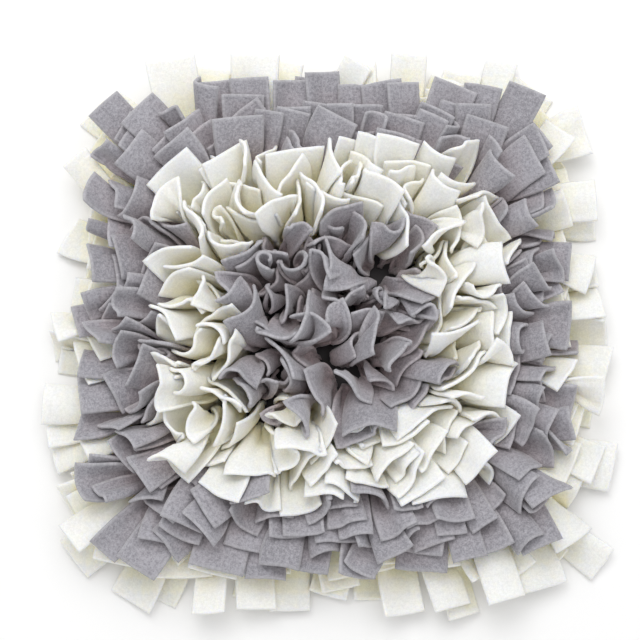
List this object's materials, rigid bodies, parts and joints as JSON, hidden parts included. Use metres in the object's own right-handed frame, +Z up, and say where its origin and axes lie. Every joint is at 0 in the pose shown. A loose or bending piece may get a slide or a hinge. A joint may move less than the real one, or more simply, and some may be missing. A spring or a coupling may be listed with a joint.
{
  "type": "snuffle mat",
  "caption": "Square pet snuffle mat: grey and ivory fleece strips knotted in rings on a flat base, upright in the middle and fanned out to a fringe.",
  "frame": {"origin": "centre of the base mat's underside, on the surface it lies on", "axes": "+Z up through the pile, +Y to the back edge, +X to the right edge, the sides of the square along X and Y"},
  "size_m": [0.4624, 0.4628, 0.0847],
  "materials": {
    "grey_fleece": "soft anti-pill fleece in warm mid grey, matt, short mottled nap, lighter along the cut edges",
    "ivory_fleece": "soft anti-pill fleece in warm ivory, matt, short mottled nap, slightly see-through at the cut edges",
    "base_rubber": "plain dark matt rubber sheet with a fine grain"
  },
  "bodies": {
    "root": {"base_mat": "base_rubber", "heart_inner_back": "grey_fleece", "heart_inner_right": "grey_fleece", "heart_inner_front": "grey_fleece", "heart_inner_left": "grey_fleece", "heart_middle_back": "grey_fleece", "heart_middle_right": "grey_fleece", "heart_middle_front": "grey_fleece", "heart_middle_left": "grey_fleece", "heart_outer_back": "grey_fleece", "heart_outer_right": "grey_fleece", "heart_outer_front": "grey_fleece", "heart_outer_left": "grey_fleece", "ivory_inner_back": "ivory_fleece", "ivory_inner_right": "ivory_fleece", "ivory_inner_front": "ivory_fleece", "ivory_inner_left": "ivory_fleece", "ivory_outer_back": "ivory_fleece", "ivory_outer_right": "ivory_fleece", "ivory_outer_front": "ivory_fleece", "ivory_outer_left": "ivory_fleece", "grey_inner_back": "grey_fleece", "grey_inner_right": "grey_fleece", "grey_inner_front": "grey_fleece", "grey_inner_left": "grey_fleece", "grey_outer_back": "grey_fleece", "grey_outer_right": "grey_fleece", "grey_outer_front": "grey_fleece", "grey_outer_left": "grey_fleece", "ivory_fringe_back": "ivory_fleece", "ivory_fringe_right": "ivory_fleece", "ivory_fringe_front": "ivory_fleece", "ivory_fringe_left": "ivory_fleece"}
  },
  "joints": []
}
